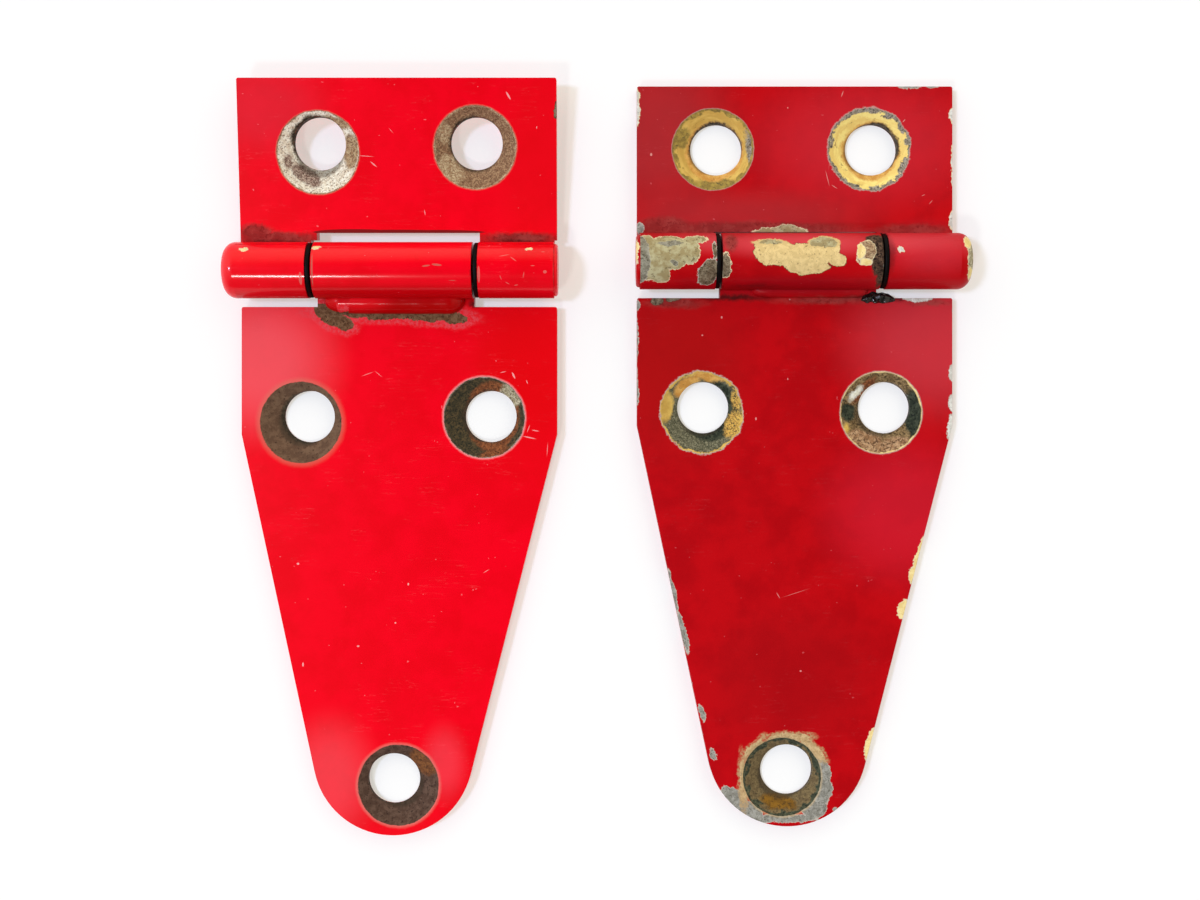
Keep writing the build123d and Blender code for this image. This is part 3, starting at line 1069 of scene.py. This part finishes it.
right_cowl_wear_and_light = WearAndLight(
    tints=[
        (Patch(-28, 26, 22, 22), screen(164, 42, 46), 0.75),
        (Patch(14, 24, 32, 18), screen(202, 40, 52), 0.6),
        (Patch(-10, 9, 34, 8), screen(166, 44, 48), 0.6),
        # Painted sheen: pale pink over the right knuckle and the upper half of the barrel; then painted shade
        # along the barrel's lower side
        (Patch(26, 2, 14, 8), screen(214, 54, 66), 0.5),
        (Patch(0, 3.4, 40, 4.2), screen(218, 78, 88), 0.6),
        (Patch(0, -5.0, 40, 2.6), screen(150, 14, 28), 0.6),
    ],
    marks=[
        ([
            Patch(9.6, 34.0, 0.12, 0.8, -20), Patch(7.2, 21.5, 0.08, 3.4, -8),
            Patch(6.6, 17.0, 0.1, 2.0, 14), Patch(8.0, 15.3, 0.9, 0.1, -32), Patch(-28.9, 21.8, 0.25, 0.35),
            Patch(-1.4, 31.2, 0.14, 0.2), Patch(25.9, 13.6, 0.5, 0.09, 25),
            Patch(27.4, 12.2, 0.7, 0.09, 50), Patch(22.0, 28.6, 0.5, 0.12, 50),
        ], flat_marks, screen(222, 150, 140), 0.8),
    ],
    grime_and_shade=[
        # Dusty dirt above the barrel, darkened further as painted shade
        ([
            Patch(-8, 6.8, 22, 1.7), Patch(24, 6.5, 8.5, 1.5), Patch(-26, 7.2, 6, 2.4),
        ], flat_marks, dusty_red_and_shade, 0.6),
        # Painted shade: dark lines in the crease where the barrel overhangs the leaf
        ([Patch(-24, 5.3, 12, 0.7), Patch(25, 5.3, 12, 0.7)], flat_marks, black_grease_and_shade, 0.95),
        gap_grime(-15.65, 17.05),
        ([Patch(18.0, 1.0, 1.0, 4.5)], barrel_marks, black_grease_and_shade, 0.5),
    ],
    chips=[
        Chip([
            Patch(-30.2, 0.4, 2.4, 4.9), Patch(-25.6, 1.3, 4.6, 3.5), Patch(-27.6, -3.2, 2.0, 1.7),
            Patch(-21.6, 1.6, 2.0, 2.9), Patch(-20.4, 3.6, 2.4, 0.8, 6),
        ], barrel_marks, olive, cream_rim),
        Chip([Patch(-31.4, -0.2, 1.9, 5.2)], barrel_marks, steel, grey_rim, 0.05),
        Chip([
            Patch(-25.4, 2.9, 2.6, 0.6), Patch(-24.6, -1.0, 0.9, 0.6),
        ], barrel_marks, steel, olive.light, 0.05),
        Chip([
            Patch(-18.0, -2.9, 1.9, 2.8, -30), Patch(-16.6, 1.4, 0.5, 1.8),
        ], barrel_marks, crevice_brown, grey_rim),
        Chip([Patch(19.7, 1.5, 0.6, 0.5)], barrel_marks, pale_zinc, cream_rim),
        Chip([
            Patch(-32.0, 31.2, 0.9, 4.0), Patch(32.0, 29.6, 0.75, 1.6), Patch(31.9, 8.6, 0.8, 1.7),
            Patch(32.1, 19.0, 0.55, 4.6),
        ], flat_marks, pale_zinc, cream_rim),
        Chip([
            Patch(23.0, 35.8, 2.2, 0.6), Patch(28.0, 35.8, 1.6, 0.5), Patch(-31.0, 6.8, 0.8, 1.2),
        ], flat_marks, zinc, grey_rim),
        Chip([Patch(-3.0, 6.1, 5.4, 1.15), Patch(-2.0, 6.6, 3.4, 1.0)], flat_marks, olive, cream_rim),
    ],
    sinks=[
        Sink(
            -16.45, 22.85, 8.2, False, gold, olive_gold, 1.1, grey_rim, 0.22, 0.55,
            zones=[
                Zone([Patch(-8.9, 22.6, 0.9, 5.6, 8)], grey_speck),
                Zone([Patch(-15.5, 15.8, 5.5, 1.2), Patch(-22.6, 25.2, 1.6, 2.4, -30)], olive_gold),
                Zone([Patch(-16.1, 22.6, 5.9, 6.2)], orange_gold),
                Zone([Patch(-15.9, 23.45, 5.35, 5.3)], hole_shade),
            ],
            turned=True,
        ),
        Sink(
            14.95, 22.85, 8.3, True, cream_gold, grey_speck, 1.0, grey_rim, 0.3, 0.7,
            zones=[
                Zone([Patch(15.6, 22.8, 5.8, 6.1)], orange_gold),
                Zone([Patch(16.0, 23.4, 5.3, 5.3)], hole_shade),
            ],
            turned=True,
        ),
    ],
)
right_strap_wear_and_light = WearAndLight(
    tints=[
        (Patch(-24, -22, 20, 24), screen(162, 8, 8), 0.7),
        (Patch(28, -16, 24, 20), screen(202, 56, 66), 0.7),
        (Patch(22, -50, 22, 20), screen(206, 26, 46), 0.6),
        (Patch(0, -84, 22, 20), screen(160, 1, 9), 0.6),
        # Painted sheen over the upper half of the barrel, and painted shade along its lower side
        (Patch(0, 3.0, 24, 4.4), screen(218, 78, 88), 0.6),
        (Patch(0, -5.0, 24, 2.6), screen(150, 8, 22), 0.7),
    ],
    marks=[
        ([
            Patch(-3.3, -67.0, 0.1, 0.9, 30), Patch(0.2, -66.5, 3.6, 0.07, 18),
            Patch(1.2, -82.2, 0.25, 0.2), Patch(-1.4, -23.4, 0.15, 0.25), Patch(-7.8, -31.4, 0.2, 0.35),
            Patch(-14.7, -11.0, 0.2, 0.3), Patch(-18.6, -14.6, 0.2, 0.2), Patch(-1.0, -7.4, 0.2, 0.2),
        ], flat_marks, screen(226, 150, 146), 0.8),
    ],
    grime_and_shade=[
        gap_grime(-15.65, 17.05),
        ([Patch(15.3, 1.0, 2.0, 5.6, 6), Patch(-13.4, 3.4, 1.6, 2.4)], barrel_marks, dusty_red_and_shade, 0.8),
        ([Patch(-9, -5.4, 7.5, 0.6)], barrel_marks, black_grease_and_shade, 0.9),
        ([Patch(-12, -7.0, 9, 0.8), Patch(18, -7.1, 10, 0.7)], flat_marks, black_grease_and_shade, 0.85),
        ([
            Patch(-24, -8.2, 7, 1.2), Patch(6, -7.6, 12, 0.9), Patch(27, -8.0, 5, 0.9),
        ], flat_marks, dusty_red_and_shade, 0.7),
    ],
    chips=[
        Chip([
            Patch(-4.6, 1.0, 4.5, 2.7), Patch(0.6, 0.2, 5.4, 2.8), Patch(4.8, 2.0, 3.2, 2.7),
            Patch(7.4, -0.4, 1.7, 1.4), Patch(1.6, -1.8, 4.4, 1.4), Patch(-7.6, 2.4, 1.3, 1.0),
        ], barrel_marks, cream, dark_rim, 0.08),
        Chip([
            Patch(4.9, 3.2, 2.8, 1.3), Patch(-5.6, 3.2, 2.6, 0.5),
        ], barrel_marks, olive, cream.middle, 0.3),
        Chip([Patch(-14.5, -1.5, 1.0, 2.3)], barrel_marks, crevice_brown, cream_rim),
        Chip([
            Patch(15.0, 2.4, 2.3, 2.5), Patch(15.4, -0.8, 1.5, 2.6, 10), Patch(16.0, -3.4, 0.6, 2.0),
        ], barrel_marks, burnt, dark_rim, 0.3),
        Chip([Patch(12.9, 1.2, 1.7, 2.5, -24)], barrel_marks, silver_brown, cream_rim),
        Chip([
            Patch(12.0, 1.1, 0.9, 1.6), Patch(13.0, -0.9, 1.0, 0.5),
        ], barrel_marks, yellow_cream, cream_rim),
        Chip([
            Patch(-31.9, -8.6, 0.6, 1.2), Patch(-32.1, -16.0, 0.45, 8.0), Patch(-32.0, -26.0, 0.6, 2.4),
            Patch(-24.7, -66.0, 0.7, 4.2, 14), Patch(-22.5, -74.4, 0.7, 4.0, 14),
            Patch(-18.8, -90.6, 0.5, 1.6, 14), Patch(-16.4, -99.0, 0.6, 1.2, 14),
        ], flat_marks, zinc, grey_rim),
        Chip([
            Patch(31.9, -22.2, 0.9, 1.6), Patch(31.8, -28.2, 0.9, 1.7), Patch(31.5, -33.2, 0.8, 2.4),
            Patch(24.6, -7.0, 2.8, 0.75),
        ], flat_marks, pale_zinc, grey_rim),
        Chip([
            Patch(-12.2, -107.7, 3.2, 1.7, -38), Patch(-9.2, -110.2, 3.2, 1.5, -32),
            Patch(5.3, -104.2, 2.1, 4.8, 8), Patch(4.0, -109.5, 2.6, 2.3, 30),
            Patch(-2.0, -111.9, 6.4, 0.8), Patch(8.3, -110.2, 0.6, 0.6),
        ], flat_marks, zinc, grey_rim),
        Chip([
            Patch(25.2, -58.8, 0.7, 3.4, -14), Patch(24.0, -62.8, 1.0, 1.8, -14),
            Patch(21.7, -69.9, 1.1, 2.0, -14), Patch(15.2, -97.0, 0.9, 3.3, -14),
        ], flat_marks, yellow_cream, cream_rim),
        Chip([
            Patch(-1.2, -95.6, 4.2, 1.0, 2), Patch(3.6, -98.0, 3.2, 1.2, -42),
            Patch(-10.4, -104.4, 0.8, 4.6, 2), Patch(-8.4, -97.6, 2.6, 0.7, 44),
        ], flat_marks, dusty_cream, dusty_cream.middle, 0.55),
        Chip([
            Patch(-27.8, -7.6, 1.4, 1.0), Patch(-24.4, -7.2, 1.4, 0.7),
        ], flat_marks, crevice_brown, dark_rim),
    ],
    sinks=[
        Sink(
            -18.7, -30.15, 8.25, True, spark_grey, gold, 0.5, grey_rim, 0.35, 0.9,
            zones=[
                Zone([Patch(-16.8, -29.8, 5.7, 6.2)], bottle_black),
                Zone([Patch(-21.6, -24.8, 3.2, 1.7, 40), Patch(-17.0, -22.8, 4.6, 1.1, -6)], orange_gold),
                Zone([Patch(-25.6, -29.0, 1.2, 3.2, -8)], gold),
                Zone([Patch(-12.4, -32.4, 1.6, 3.2, -22), Patch(-11.6, -27.4, 1.0, 2.4)], gold_speck),
            ],
        ),
        Sink(
            17.4, -30.15, 8.25, False, brown_olive, yellow_cream, 0.32, grey_rim, 0.3, 0.75,
            zones=[
                Zone([Patch(24.0, -30.6, 2.0, 5.4, 6), Patch(10.8, -30.0, 1.8, 2.0)], bottle_black),
                Zone([Patch(14.6, -36.2, 4.8, 2.4, -18), Patch(20.0, -36.6, 3.4, 1.5, 14)], brown_crack),
                Zone([Patch(14.2, -25.6, 3.6, 1.3, 48)], rust),
                Zone([Patch(12.4, -26.2, 1.9, 0.9, 48)], white_flake),
                Zone([Patch(10.4, -33.2, 0.8, 1.1)], gold),
            ],
        ),
        Sink(
            -2.55, -103.6, 7.9, False, olive_cone, ring_grey, 1.3, dusty_cream.light, 0.5, 0.5,
            zones=[Zone([Patch(-3.4, -108.8, 3.6, 1.5, -8), Patch(-1.2, -109.4, 1.8, 1.0)], ochre)],
        ),
    ],
)
# All painted light: shade over the whole bead, and a brighter red towards its left end where the lamp lights
# it
left_bead_painted_light = WearAndLight(
    tints=[
        (Patch(0, -7.4, 40, 5), screen(174, 0, 2), 1.0),
        (Patch(-8, -6.4, 9, 2.6), screen(240, 10, 26), 0.7),
    ],
)
# Painted sheen: a pale pink reflection on the pin's head
left_pin_painted_sheen = WearAndLight(tints=[(Patch(-36, 0, 5, 6), screen(238, 96, 106), 0.35)])
right_pin_wear_and_sheen = WearAndLight(
    # Painted sheen on the upper side of the pin's head
    tints=[(Patch(34, 3, 6, 4), screen(214, 54, 66), 0.5)],
    chips=[
        Chip([Patch(-32.2, 1.6, 0.6, 2.6)], barrel_marks, yellow_cream, cream_rim),
        Chip([Patch(33.9, 0.2, 0.9, 3.3)], barrel_marks, worn_silver, cream_rim, 0.2),
        Chip([
            Patch(33.2, 3.3, 0.8, 1.2), Patch(33.7, -2.9, 0.5, 1.2),
        ], barrel_marks, yellow_cream, cream_rim),
    ],
)


def finish_piece(piece, body, materials, node=None):
    """Gives a piece its materials, tells the frame which body it rides on, and hides the CAD part that it
    stands for
    """
    faces = [face.material_index for face in piece.data.polygons]
    piece.data.materials.clear()
    for material in materials:
        piece.data.materials.append(material)
    piece.data.polygons.foreach_set("material_index", faces)
    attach(piece, body)
    if node:
        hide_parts(node)


def make_washer_rubber():
    """Black rubber, greasy and a little dusty"""
    material, nodes, surface = new_material("black_washer_rubber")
    place = leaf_position(nodes, axis_of["left"], 0)
    feeds = {"Position": place, "Scale": 1.4, "Low": 0.55, "High": 0.8, "Share": 0.25}
    dust = nodes.group(dust_clouds, feeds)["Mask"]
    nodes.feed(surface.inputs["Base Color"], nodes.mix(dust, screen(7, 5, 5), screen(52, 38, 32)))
    nodes.feed(surface.inputs["Roughness"], nodes.step(dust, 0.0, 0.25, 0.5, 0.75))
    surface.inputs["Specular IOR Level"].default_value = 0.08
    return material


def make_black_grease():
    """Hardened grease: black and glossy, with a brown bloom"""
    material, nodes, surface = new_material("hard_black_grease")
    place = leaf_position(nodes, axis_of["right"], 0)
    feeds = {"Position": place, "Scale": 0.9, "Low": 0.5, "High": 0.7, "Share": 0.5}
    bloom = nodes.group(dust_clouds, feeds)["Mask"]
    nodes.feed(surface.inputs["Base Color"], nodes.mix(bloom, screen(14, 11, 11), screen(64, 52, 46)))
    nodes.feed(surface.inputs["Roughness"], nodes.step(bloom, 0.0, 0.5, 0.16, 0.4))
    feeds = {"Strength": 0.5, "Distance": 0.2 * mm, "Height": nodes.noise(place, 1.6)}
    bump = nodes.add("ShaderNodeBump", feeds)
    nodes.feed(surface.inputs["Normal"], bump.outputs[0])
    return material


left_axis, right_axis = axis_of["left"], axis_of["right"]
left_end = left_axis.x - half_width * mm
right_end = right_axis.x + half_width * mm

left_strap_paints = make_leaf_paints("left_strap", left_axis, 0, left_paint, left_strap_wear_and_light)
right_strap_paints = make_leaf_paints("right_strap", right_axis, 0, right_paint, right_strap_wear_and_light)
left_cowl_paints = make_leaf_paints("left_cowl", left_axis, left_fold, left_paint, left_cowl_wear_and_light)
right_cowl_paints = make_leaf_paints("right_cowl", right_axis, 0, right_paint, right_cowl_wear_and_light)
left_pin_paint = make_paint_with_wear_and_light("left_pin_paint", left_axis, 0, left_paint, left_pin_painted_sheen)
right_pin_paint = make_paint_with_wear_and_light("right_pin_paint", right_axis, 0, right_paint, right_pin_wear_and_sheen)
left_bead_paint = make_paint_with_wear_and_light("left_bead_paint", left_axis, 0, bead_paint, left_bead_painted_light)

left_cowl = soften("left_cowl_leaf", "left_cowl_plate", left_end)
right_cowl = soften("right_cowl_leaf", "right_cowl_plate", right_end)
left_strap = soften("left_hood_strap", "left_strap_plate", left_end)
right_strap = soften("right_hood_strap", "right_strap_plate", right_end)
left_pin = turned_pin("left_headed_pin", left_axis, -1)
right_pin = turned_pin("right_headed_pin", right_axis, 1)
left_bead = weld_bead("left_weld_bead", left_axis, -1, -13.1, 15.0, radius=2.55, waver=0.02, run_out=0.55)
right_bead = weld_bead("right_weld_bead", right_axis, 1, -8.7, 14.6, radius=1.5, waver=0.08, run_out=0.0)
grease = grease_lump("grease_lump", right_axis)

finish_piece(left_cowl, "cowl_side", left_cowl_paints, "left_cowl_leaf")
finish_piece(right_cowl, "cowl_side", right_cowl_paints, "right_cowl_leaf")
finish_piece(left_strap, "left_strap", left_strap_paints, "left_hood_strap")
finish_piece(right_strap, "right_strap", right_strap_paints, "right_hood_strap")
finish_piece(left_pin, "cowl_side", [left_pin_paint], "left_hinge_pin")
finish_piece(right_pin, "cowl_side", [right_pin_paint], "right_hinge_pin")
finish_piece(left_bead, "left_strap", [left_bead_paint])
finish_piece(right_bead, "right_strap", right_strap_paints[:1])
finish_piece(grease, "right_strap", [make_black_grease()])
rubber_washers(make_washer_rubber())


# Table, light and camera


def rays(nodes):
    """Masks of what the camera sees, and of what gloss and glass show"""
    ray = nodes.add("ShaderNodeLightPath").outputs
    return ray["Is Camera Ray"], nodes.math("MAXIMUM", ray["Is Glossy Ray"], ray["Is Transmission Ray"])


def make_table():
    """White table that the hinges lie on. The camera and the paint's gloss see its shadows a little
    lightened"""
    half, below = 1.5, 0.02 * mm
    mesh = bpy.data.meshes.new("table")
    corners = [(-half, -half, -below), (half, -half, -below), (half, half, -below), (-half, half, -below)]
    mesh.from_pydata(corners, [], [(0, 1, 2, 3)])
    material = bpy.data.materials.new("white_table")
    nodes = clear_tree(material)
    lit = nodes.add("ShaderNodeBsdfDiffuse", {"Color": (0.98, 0.98, 0.98, 1)}).outputs[0]
    white = nodes.add("ShaderNodeEmission", {"Color": (1.0, 0.99, 0.95, 1.0), "Strength": 1.0}).outputs[0]
    seen, reflected = rays(nodes)
    share = nodes.math("MULTIPLY", nodes.math("MAXIMUM", seen, reflected), 0.45)
    both = nodes.add("ShaderNodeMixShader", {0: share, 1: lit, 2: white}).outputs[0]
    nodes.add("ShaderNodeOutputMaterial", {"Surface": both})
    mesh.materials.append(material)
    table = new_piece("table", mesh)


def new_lamp(name, kind, energy):
    data = bpy.data.lights.new(name, kind)
    data.energy = energy
    lamp = bpy.data.objects.new(name, data)
    bpy.context.scene.collection.objects.link(lamp)
    return lamp


def make_lamps():
    """Cool light from the left, and a lamp whose reflection runs along the barrels"""
    window = new_lamp("window_light", "SUN", 1.6)
    window.data.angle = radians(8)
    window.data.color = (0.57, 0.68, 1.0)
    window.rotation_euler = (0, radians(-28), 0)

    ceiling = new_lamp("ceiling_light", "AREA", 2.2)
    ceiling.data.shape = "RECTANGLE"
    ceiling.data.size = 0.12
    ceiling.data.size_y = 0.09
    place = Vector((-0.29, -0.52, 0.9))
    ceiling.location = place
    ceiling.rotation_euler = place.to_track_quat("Z", "Y").to_euler()


def make_world():
    """Warm daylight that comes more from behind the cowl leaves, with a dark place straight above,
    where the camera hangs. The camera itself sees white, and gloss sees the same white along the
    horizon"""
    world = bpy.data.worlds.new("room")
    bpy.context.scene.world = world
    nodes = clear_tree(world)
    direction = nodes.add("ShaderNodeTexCoord").outputs["Generated"]
    sides = nodes.add("ShaderNodeSeparateXYZ", {0: direction}).outputs

    dark_oval = {"Vector": direction, "Location": (0.0, -0.05, 0.0), "Scale": (0.36, 0.98, 60.0)}
    oval = nodes.add("ShaderNodeMapping", dark_oval, vector_type="TEXTURE").outputs[0]
    open_sky = nodes.step(nodes.vector("LENGTH", oval), 0.55, 1.1, 0.02, 1.0)
    above = nodes.step(sides["Z"], -0.1, 0.1)
    dark = nodes.math("MULTIPLY", nodes.math("SUBTRACT", 1.0, open_sky), above)
    from_behind = nodes.math("ADD", 1.0, nodes.math("MULTIPLY", sides["Y"], 0.8))
    strength = nodes.math("MULTIPLY", nodes.math("SUBTRACT", 1.0, dark), from_behind)
    room = nodes.add("ShaderNodeBackground", {"Color": (0.86, 0.8, 0.64, 1.0), "Strength": strength})

    white = nodes.add("ShaderNodeBackground", {"Color": (1.0, 1.0, 1.0, 1.0), "Strength": 1.0})
    seen, reflected = rays(nodes)
    horizon = nodes.math("MULTIPLY", reflected, nodes.step(sides["Z"], 0.05, 0.15, 1.0, 0.0))
    shown = nodes.math("MAXIMUM", seen, horizon)
    both = nodes.add("ShaderNodeMixShader", {0: shown, 1: room.outputs[0], 2: white.outputs[0]})
    nodes.add("ShaderNodeOutputWorld", {"Surface": both.outputs[0]})


def make_camera():
    data = bpy.data.cameras.new("camera")
    data.sensor_width = sensor_width
    data.sensor_fit = "HORIZONTAL"
    data.lens = sensor_width * camera_height / seen_width
    camera = bpy.data.objects.new("camera", data)
    camera.location = (*camera_place, camera_height)
    bpy.context.scene.collection.objects.link(camera)
    bpy.context.scene.camera = camera


make_table()
make_lamps()
make_world()
make_camera()
bpy.context.scene.view_settings.view_transform = "Standard"
